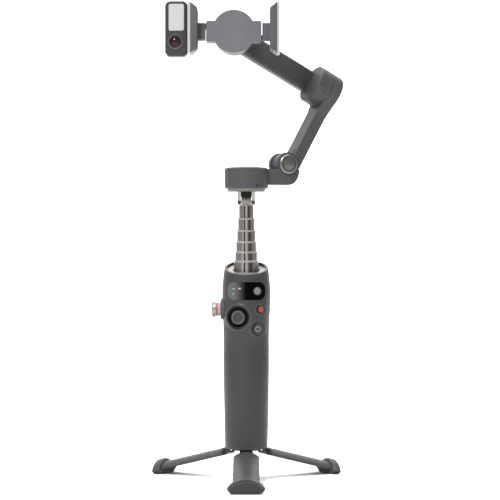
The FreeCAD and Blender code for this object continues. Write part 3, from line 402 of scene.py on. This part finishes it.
def rubber(name, colour):
    """Soft matte rubber with a dusty bloom."""
    graph = Graph(name)
    fine = graph.noise(0.5 * MM, 3.0, 0.7)
    bloom = graph.noise(7.0 * MM, 4.0)
    base = graph.mix(graph.mask(bloom, 0.4, 0.75, 0.5), tone(colour), tone(colour, 2.1))
    base = graph.mix(graph.edges(0.52, 0.62), base, tone(colour, 2.6))
    rough = graph.spread(fine, 0.68, 0.86, 0.3, 0.7)
    return graph.set(Base_Color=base, Roughness=rough, Normal=graph.bump(fine, 0.06 * MM, 0.7),
                     Sheen_Weight=0.15)


def frosted(name, colour):
    """Frosted diffuser of the light."""
    graph = Graph(name)
    cloud = graph.noise(4.0 * MM, 3.0)
    fine = graph.noise(0.4 * MM, 2.0)
    base = graph.mix(graph.mask(cloud, 0.3, 0.7), tone(colour, 0.97), tone(colour, 1.02))
    rough = graph.spread(fine, 0.38, 0.5, 0.3, 0.7)
    return graph.set(Base_Color=base, Roughness=rough, Normal=graph.bump(fine, 0.02 * MM, 0.4),
                     Subsurface_Weight=0.15, Subsurface_Scale=1.0 * MM)


def lens_coating(name):
    """Dark coated glass with a violet and brown cast."""
    graph = Graph(name)
    tint = graph.node("ShaderNodeLayerWeight", {"Blend": 0.35}).outputs["Facing"]
    cloud = graph.noise(2.0 * MM, 2.0)
    base = graph.mix(tint, (0.030, 0.009, 0.016, 1.0), (0.004, 0.002, 0.003, 1.0))
    base = graph.mix(graph.mask(cloud, 0.4, 0.7, 0.3), base, (0.05, 0.02, 0.02, 1.0))
    rough = graph.spread(cloud, 0.03, 0.07)
    return graph.set(Base_Color=base, Roughness=rough, Coat_Weight=0.25, Coat_Roughness=0.05,
                     Specular_IOR_Level=0.2)


def winding(name):
    """Copper wire wound round a steel core."""
    graph = Graph(name)
    turns = graph.node("ShaderNodeTexWave", {"Vector": graph.place, "Scale": 500.0, "Distortion": 1.5,
                                             "Detail": 2.0}).outputs["Fac"]
    base = graph.mix(turns, (0.16, 0.06, 0.03, 1.0), (0.62, 0.28, 0.13, 1.0))
    rough = graph.spread(turns, 0.25, 0.45)
    return graph.set(Base_Color=base, Metallic=0.9, Roughness=rough, Normal=graph.bump(turns, 0.1 * MM, 0.8))


def circuit(name):
    """Lacquered board with faint tracks."""
    graph = Graph(name)
    tracks = graph.node("ShaderNodeTexBrick", {
        "Vector": graph.place, "Scale": 260.0, "Mortar Size": 0.03, "Mortar": (0.04, 0.25, 0.10, 1.0),
        "Color1": (0.01, 0.10, 0.04, 1.0), "Color2": (0.01, 0.13, 0.05, 1.0)})
    rough = graph.spread(graph.noise(3.0 * MM), 0.25, 0.4)
    return graph.set(Base_Color=tracks.outputs["Color"], Roughness=rough,
                     Normal=graph.bump(tracks.outputs["Fac"], 0.05 * MM, 0.5))


def floor_paper(name, colour):
    """Plain pale studio paper."""
    graph = Graph(name)
    cloud = graph.noise(300.0 * MM, 3.0)
    fine = graph.noise(2.0 * MM, 2.0)
    base = graph.mix(cloud, tone(colour, 0.995), tone(colour, 1.005))
    rough = graph.spread(fine, 0.6, 0.7)
    return graph.set(Base_Color=base, Roughness=rough, Specular_IOR_Level=0.2)


def make_finishes(colours, grain):
    """Make every material once, by name."""
    grain_size = grain.grain
    small = grain_size * 0.7
    rim = (0.0, -math.sin(DISH_SLOPE), math.cos(DISH_SLOPE))
    return {
        "shell": moulded("shell_matte", tuple(colours.shell), 0.46, grain_size, seam=True, rim=rim),
        "arm": moulded("arm_matte", tuple(colours.arms), 0.42, grain_size),
        "leg": moulded("leg_matte", tuple(colours.legs), 0.44, grain_size),
        "button": moulded("button_satin", shaded(colours.shell, 0.9), 0.38, small),
        "disc": moulded("disc_satin", shaded(colours.arms, 2.3), 0.40, small),
        "dish": moulded("dish_pale", tuple(colours.dish), 0.4, grain_size),
        "case": moulded("case_matte", shaded(colours.arms, 0.62), 0.42, grain_size),
        "jaw": moulded("jaw_matte", shaded(colours.arms, 1.45), 0.42, grain_size),
        "strip": moulded("strip_pale", (0.25, 0.245, 0.24), 0.36, grain_size),
        "steel": drawn_metal("pin_steel", (0.30, 0.29, 0.28), 0.32, EVERY_WAY),
        "hinge": drawn_metal("hinge_metal", tuple(colours.hinge), 0.32, EVERY_WAY),
        "knurl": drawn_metal("knurl_metal", (0.30, 0.29, 0.285), 0.34, SIDEWAYS),
        "base": drawn_metal("pan_base_metal", (0.235, 0.225, 0.215), 0.36, EVERY_WAY, PLATE_HEIGHT),
        "bezel": drawn_metal("bezel_metal", (0.13, 0.13, 0.132), 0.4, EVERY_WAY),
        "record": moulded("record_red", tuple(colours.record), 0.3, grain_size * 0.5),
        "dial": banded("dial_red", tone((0.40, 0.30, 0.28)), tone(colours.dial), DIAL_BORDER),
        "window": window_with_painted_reflection("window_painted_reflection", *WINDOW_SPAN),
        "mode": moulded("mode_grey", (0.075, 0.077, 0.08), 0.4, grain_size * 0.5),
        "well": moulded("well_black", (0.004, 0.004, 0.004), 0.6, grain_size),
        "bump": moulded("bump_grey", (0.085, 0.087, 0.09), 0.4, small),
        "cap": moulded("cap_dark", (0.030, 0.031, 0.033), 0.45, small),
        "ear": moulded("ear_dark", (0.030, 0.028, 0.027), 0.5, small),
        # Near black for the screws and the lens mask, also used as painted shade in the knuckle's recess.
        "shade": moulded("recess_black_and_painted_shade", (0.006, 0.006, 0.006), 0.6, small),
        "signal": gloss("signal_green", tuple(colours.signal), 0.2),
        # Painted highlight: a lighter copy of the shell grey for the raised surrounds.
        "ridge": moulded("ridge_satin_painted_highlight", shaded(colours.shell, 1.35), 0.4, grain_size),
        "mark": moulded("mark_pale", (0.20, 0.20, 0.205), 0.4, grain_size * 0.4),
        "rubber": rubber("rubber_black", (0.009, 0.009, 0.0095)),
        "panel": frosted("light_frost", (0.34, 0.34, 0.345)),
        "lens": lens_coating("lens_coating"),
        "winding": winding("copper_winding"),
        "circuit": circuit("circuit_lacquer"),
        "cell": gloss("cell_wrap", (0.06, 0.14, 0.30), 0.3),
        "board_pale": moulded("core_pale", (0.30, 0.30, 0.30), 0.5, grain_size),
    }


NODE_FINISH = {
    "shell": ["handle_front_cover", "handle_rear_cover"],
    "arm": ["dial_boss", "pan_housing", "pan_arm", "fold_arm", "upper_arm", "roll_plate", "clamp_body"],
    "case": ["light_case"],
    "jaw": ["jaw_left", "jaw_right"],
    "ear": ["tripod_hub"],
    "leg": ["leg_front", "leg_left", "leg_right"],
    "button": ["record_button", "switch_button", "trigger"],
    "cap": ["stick_cap"],
    "window": ["display_window"],
    "mode": ["mode_button"],
    "well": ["stick_well", "stick_ring"],
    "disc": ["clamp_disc"],
    "dish": ["rod_sleeve"],
    "strip": ["jaw_plate_left", "jaw_plate_right"],
    "steel": ["end_cap", "leg_pins", "knuckle_pin", "clamp_pinion", "charging_socket"],
    "hinge": ["fold_pin"],
    "bezel": ["lens_ring"],
    "knurl": ["dial_grip"],
    "base": ["pan_base"],
    "dial": ["dial_ring"],
    "rubber": ["foot_pad_front", "foot_pad_left", "foot_pad_right", "jaw_pad_left", "jaw_pad_right"],
    "panel": ["light_panel"],
    "lens": ["lens_glass"],
    "winding": ["pan_motor", "tilt_motor", "roll_motor"],
    "circuit": ["control_board"],
    "cell": ["battery_cell"],
    "board_pale": ["core_tube"],
}
FINISHES = {}   # filled by the first step


# ---------------------------------------------------------------- mesh helpers

def new_piece(name, body, build, finish, place=None, smooth=True):
    """Make a mesh with build(bm), give it a finish and let it ride on a body."""
    mesh = bpy.data.meshes.new(name)
    bm = bmesh.new()
    build(bm)
    bmesh.ops.recalc_face_normals(bm, faces=bm.faces)
    if place is not None:
        bm.transform(place)
    bm.to_mesh(mesh)
    bm.free()
    piece = bpy.data.objects.new(name, mesh)
    bpy.context.scene.collection.objects.link(piece)
    piece.data.materials.append(FINISHES[finish])
    if smooth:
        for face in mesh.polygons:
            face.use_smooth = True
    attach(piece, body)
    return piece


def lathe(bm, profile, turns=64):
    """Turn a list of (radius, height) pairs about Z; a zero radius closes to a point."""
    rings = []
    for radius, height in profile:
        if radius == 0.0:
            rings.append([bm.verts.new((0, 0, height))])
            continue
        ring = []
        for step in range(turns):
            angle = 2 * math.pi * step / turns
            ring.append(bm.verts.new((radius * math.cos(angle), radius * math.sin(angle), height)))
        rings.append(ring)
    for lower, upper in zip(rings, rings[1:]):
        for step in range(turns):
            after = (step + 1) % turns
            if len(lower) == 1 and len(upper) == 1:
                continue
            if len(lower) == 1:
                bm.faces.new((lower[0], upper[after], upper[step]))
            elif len(upper) == 1:
                bm.faces.new((lower[step], lower[after], upper[0]))
            else:
                bm.faces.new((lower[step], lower[after], upper[after], upper[step]))


def facing(origin, normal):
    """Return a placement whose Z is the normal and whose Y is nearest to up."""
    up = Vector((0, 0, 1))
    z = Vector(normal).normalized()
    y = (up - z * up.dot(z)).normalized()
    x = y.cross(z)
    turn = Matrix((x, y, z)).transposed().to_4x4()
    return Matrix.Translation(origin) @ turn


def on_skin(node, x, z):
    """Return the frontmost point of a CAD node at an x and a height, and its normal."""
    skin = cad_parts[node]
    hit, spot, normal, _ = skin.ray_cast(Vector((x, -1.0, z)), Vector((0, 1, 0)))
    if not hit:
        raise RuntimeError(f"nothing of {node} is in front at {x}, {z}")
    return spot, normal


def middle(node):
    """Return the middle of a node's box."""
    low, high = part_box(node)
    return (low + high) / 2


def skin_ring(name, centre, profile, finish, turns=96):
    """Lay a ring of (radius, lift) steps on the handle's front skin."""
    def build(bm):
        rows = []
        for radius, lift in profile:
            row = []
            for step in range(turns):
                angle = 2 * math.pi * step / turns
                spot, _ = on_skin("handle_front_cover", centre.x + radius * math.cos(angle),
                                  centre.z + radius * math.sin(angle))
                row.append(bm.verts.new((spot.x, spot.y - lift, spot.z)))
            rows.append(row)
        for inner, outer in zip(rows, rows[1:]):
            for step in range(turns):
                after = (step + 1) % turns
                bm.faces.new((inner[step], inner[after], outer[after], outer[step]))

    return new_piece(name, "root", build, finish)


def pit(name, node, body, x, z, radius, stretch):
    """Lay a small dark screw or sensor on a node's front at an x and a height."""
    spot, normal = on_skin(node, x, z)
    floor, lip = 0.02 * MM, 0.06 * MM

    def build(bm):
        lathe(bm, [(0.0, floor), (radius * 0.45, floor), (radius * 0.6, lip), (radius, lip),
                   (radius * 1.12, -0.04 * MM)], 24)
        bmesh.ops.scale(bm, vec=(1.0, stretch, 1.0), verts=bm.verts)

    return new_piece(name, body, build, "shade", facing(spot, normal))


def block(bm, size, round_by):
    """Make a block with rounded edges about the origin."""
    bmesh.ops.create_cube(bm, size=1.0)
    bmesh.ops.scale(bm, vec=size, verts=bm.verts)
    bmesh.ops.bevel(bm, geom=bm.edges[:], offset=round_by, segments=2, affect="EDGES")


def slab(name, body, finish, low, high, round_by):
    """Make a small block with rounded edges between two corners in millimetres."""
    low, high = Vector(low) * MM, Vector(high) * MM

    def build(bm):
        block(bm, high - low, round_by)
        bmesh.ops.translate(bm, vec=(high + low) / 2, verts=bm.verts)

    return new_piece(name, body, build, finish, smooth=False)


def paint(node, material):
    """Give a node one material."""
    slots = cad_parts[node].data.materials
    slots.clear()
    slots.append(material)


class FinishCarriedNodes(bpy.types.Operator):
    """Give every piece of the frame its finish."""

    bl_idname = "gimbal.finish_nodes"
    bl_label = "Finish carried pieces"

    def execute(self, context):
        FINISHES.update(make_finishes(context.scene.gimbal_finishes, context.scene.gimbal_grain))
        for finish, names in NODE_FINISH.items():
            for name in names:
                paint(name, FINISHES[finish])
        metal = tuple(context.scene.gimbal_finishes.rod)
        for letter in ROD_SECTIONS:
            node = "rod_section_" + letter
            collar = TOP_COLLAR_HEIGHT if letter == ROD_SECTIONS[-1] else COLLAR_HEIGHT
            paint(node, tube_metal("rod_metal_" + letter, metal, tube_top(node) - collar))
        return {"FINISHED"}


class AddHandleMarks(bpy.types.Operator):
    """Add the display marks, the record dot and the rings on the buttons."""

    bl_idname = "gimbal.handle_marks"
    bl_label = "Handle marks"

    def execute(self, context):
        window = middle("display_window")
        for number, drop in enumerate((-1.7 * MM, 2.2 * MM)):
            spot, normal = on_skin("display_window", window.x - 10.2 * MM, window.z - drop)

            def bar(bm):
                block(bm, Vector((2.4, 1.0, 0.08)) * MM, 0.03 * MM)

            new_piece(f"signal_bar_{number}", "root", bar, "signal", facing(spot, normal))

        spot, normal = on_skin("display_window", window.x - 5.2 * MM, window.z + 2.0 * MM)

        def bead(bm):
            radius, under = 1.1 * MM, -0.02 * MM
            lathe(bm, [(0.0, under), (radius, under), (radius, 0.04 * MM), (0.0, 0.06 * MM)], 24)
            bmesh.ops.scale(bm, vec=(1.1, 0.7, 1.0), verts=bm.verts)

        new_piece("status_mark", "root", bead, "mark", facing(spot, normal))

        record = middle("record_button")
        spot, normal = on_skin("record_button", record.x, record.z)

        def dot(bm):
            radius, under = 2.05 * MM, -0.1 * MM
            lathe(bm, [(0.0, under), (radius, under), (radius, 0.06 * MM), (1.9 * MM, 0.16 * MM),
                       (0.0, 0.2 * MM)], 40)

        new_piece("record_dot", "record_body", dot, "record", facing(spot, normal))

        for button, radius in (("switch", 1.9 * MM), ("mode", 1.4 * MM)):
            node = button + "_button"
            centre = middle(node)
            spot, normal = on_skin(node, centre.x, centre.z)

            def loop(bm, radius=radius):
                half, under, over = 0.22 * MM, -0.02 * MM, 0.05 * MM
                lathe(bm, [(radius - half, under), (radius - half, over), (radius + half, over),
                           (radius + half, under)], 40)

            new_piece(node + "_ring", button + "_body", loop, "mark", facing(spot, normal))
        return {"FINISHED"}


class AddRidges(bpy.types.Operator):
    """Add the raised surrounds of the stick and the buttons, in a lighter grey as painted highlight."""

    bl_idname = "gimbal.ridges"
    bl_label = "Control surrounds"

    def execute(self, context):
        for node, profile in SURROUNDS.items():
            steps = [(radius * MM, lift * MM) for radius, lift in profile]
            skin_ring(node + "_surround", middle(node), steps, "ridge")
        return {"FINISHED"}


class AddHeadDetails(bpy.types.Operator):
    """Add the screw marks, the lens mask, a dark plate painted as shade in the knuckle's recess and dark
    blocks painted as shade under the ears.
    """

    bl_idname = "gimbal.head_details"
    bl_label = "Head details"

    def execute(self, context):
        for name, node, body, x, height, radius, stretch in PITS:
            pit(name, node, body, x * MM, height * MM, radius * MM, stretch)
        low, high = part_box("lens_ring")
        centre = (low + high) / 2

        def mask(bm):
            steps = ((3.0, -1.2), (4.1, 0.04), (4.4, 0.14), (4.8, 0.14), (5.0, 0.02))
            lathe(bm, [(radius * MM, height * MM) for radius, height in steps])

        place = facing(Vector((centre.x, low.y, centre.z)), Vector((0, -1, 0)))
        new_piece("lens_mask", "fill_light", mask, "shade", place)
        # Painted shade: a dark plate in front of the knuckle's web, where the recess lies in shadow.
        slab("knuckle_shade", "neck", "shade", (-4.2, -1.85, 201.9), (4.2, -1.6, 205.85),
             0.1 * MM)
        # Painted shade: dark blocks where the ears' rounded undersides face down into shadow.
        for side, name in ((-1, "left"), (1, "right")):
            inner, outer = sorted((side * 4.6, side * 6.8))
            slab("ear_underside_shade_" + name, "neck", "ear", (inner, -2.9, 196.4), (outer, -2.3, 198.8),
                 0.2 * MM)
        return {"FINISHED"}


class AddStickBumps(bpy.types.Operator):
    """Add the ring of bumps on the thumb stick."""

    bl_idname = "gimbal.stick_bumps"
    bl_label = "Thumb stick bumps"

    def execute(self, context):
        low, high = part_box("stick_cap")
        centre = (low + high) / 2
        radius = (high.x - low.x) / 2 - 1.2 * MM
        count = context.scene.gimbal_grain.bumps

        def ring(bm):
            for step in range(count):
                angle = 2 * math.pi * step / count
                made = bmesh.ops.create_icosphere(bm, subdivisions=2, radius=0.62 * MM)
                shift = Vector((radius * math.cos(angle), radius * math.sin(angle), 0.0))
                bmesh.ops.scale(bm, vec=(1, 1, 0.7), verts=made["verts"])
                bmesh.ops.translate(bm, vec=shift, verts=made["verts"])

        place = facing(Vector((centre.x, low.y + 0.12 * MM, centre.z)), Vector((0, -1, 0)))
        new_piece("stick_bumps", "stick_body", ring, "bump", place)
        return {"FINISHED"}


def lay_floor(scene, colour):
    """Lay the floor, which curves up into a wall behind."""
    mesh = bpy.data.meshes.new("studio_floor")
    bm = bmesh.new()
    line = [(FLOOR_NEAR, 0.0)]
    for step in range(CURVE_STEPS + 1):
        angle = math.pi / 2 * step / CURVE_STEPS
        line.append((FLOOR_FAR + WALL_CURVE * math.sin(angle), WALL_CURVE - WALL_CURVE * math.cos(angle)))
    line.append((FLOOR_FAR + WALL_CURVE, WALL_TOP))
    rows = [[bm.verts.new((side * FLOOR_WIDTH / 2, y, GROUND + z)) for side in (-1, 1)] for y, z in line]
    for first, second in zip(rows, rows[1:]):
        bm.faces.new((first[0], first[1], second[1], second[0]))
    for face in bm.faces:
        face.smooth = True
    bm.to_mesh(mesh)
    bm.free()
    floor = bpy.data.objects.new("studio_floor", mesh)
    floor.data.materials.append(floor_paper("studio_paper", colour))
    scene.collection.objects.link(floor)


def hang_light(scene, name, place, target, size, power):
    """Hang a soft rectangular light that looks at a target."""
    light = bpy.data.lights.new(name, "AREA")
    light.shape = "RECTANGLE"
    light.size, light.size_y = size
    light.energy = power
    lamp = bpy.data.objects.new(name, light)
    lamp.location = place
    lamp.rotation_euler = (Vector(target) - Vector(place)).to_track_quat("-Z", "Y").to_euler()
    scene.collection.objects.link(lamp)


def set_air(scene):
    """Make the air white to the eye and dimmer as a light."""
    world = bpy.data.worlds.new("studio_air")
    world.use_nodes = True
    backdrop = world.node_tree.nodes["Background"]
    backdrop.inputs["Color"].default_value = (1.0, 1.0, 1.0, 1.0)
    seen = world.node_tree.nodes.new("ShaderNodeLightPath").outputs["Is Camera Ray"]
    strength = world.node_tree.nodes.new("ShaderNodeMapRange")
    strength.inputs["To Min"].default_value = AIR_LIGHT
    strength.inputs["To Max"].default_value = AIR_SEEN
    world.node_tree.links.new(seen, strength.inputs["Value"])
    world.node_tree.links.new(strength.outputs["Result"], backdrop.inputs["Strength"])
    scene.world = world
    scene.view_settings.view_transform = "Standard"


def place_camera(scene, studio):
    """Place the camera level in front of the handle."""
    camera = bpy.data.objects.new("studio_camera", bpy.data.cameras.new("studio_camera"))
    camera.data.lens = studio.lens
    camera.data.sensor_width = SENSOR_WIDTH
    camera.data.clip_start = 10.0 * MM
    camera.location = (studio.across, -studio.distance, GROUND + studio.eye)
    camera.rotation_euler = (math.pi / 2, 0.0, 0.0)
    scene.collection.objects.link(camera)
    scene.camera = camera


class BuildStudio(bpy.types.Operator):
    """Add the floor, the lights and the camera."""

    bl_idname = "gimbal.build_studio"
    bl_label = "Studio"

    def execute(self, context):
        studio = context.scene.gimbal_studio
        lay_floor(context.scene, tuple(studio.floor))
        for light in LIGHTS:
            hang_light(context.scene, *light)
        set_air(context.scene)
        place_camera(context.scene, studio)
        return {"FINISHED"}


# ---------------------------------------------------------------- panel and registration

STEPS = (FinishCarriedNodes, AddRidges, AddHandleMarks, AddHeadDetails, AddStickBumps, BuildStudio)


class GimbalPanel(bpy.types.Panel):
    """The steps and settings of the gimbal."""

    bl_idname = "VIEW3D_PT_gimbal"
    bl_label = "Gimbal"
    bl_space_type = "VIEW_3D"
    bl_region_type = "UI"
    bl_category = "Gimbal"

    def draw(self, context):
        column = self.layout.column()
        for settings in (context.scene.gimbal_finishes, context.scene.gimbal_grain,
                         context.scene.gimbal_studio):
            for name in settings.__annotations__:
                column.prop(settings, name)
        for step in STEPS:
            column.operator(step.bl_idname)


CLASSES = (GimbalFinishes, GimbalGrain, GimbalStudio, GimbalPanel) + STEPS


def register():
    """Register the classes and the settings."""
    for item in CLASSES:
        bpy.utils.register_class(item)
    bpy.types.Scene.gimbal_finishes = PointerProperty(type=GimbalFinishes)
    bpy.types.Scene.gimbal_grain = PointerProperty(type=GimbalGrain)
    bpy.types.Scene.gimbal_studio = PointerProperty(type=GimbalStudio)


def unregister():
    """Take the settings and classes away again."""
    del bpy.types.Scene.gimbal_studio
    del bpy.types.Scene.gimbal_grain
    del bpy.types.Scene.gimbal_finishes
    for item in reversed(CLASSES):
        bpy.utils.unregister_class(item)


def main():
    """Build every step."""
    register()
    bpy.ops.gimbal.finish_nodes()
    bpy.ops.gimbal.ridges()
    bpy.ops.gimbal.handle_marks()
    bpy.ops.gimbal.head_details()
    bpy.ops.gimbal.stick_bumps()
    bpy.ops.gimbal.build_studio()


if __name__ == "__main__":
    main()
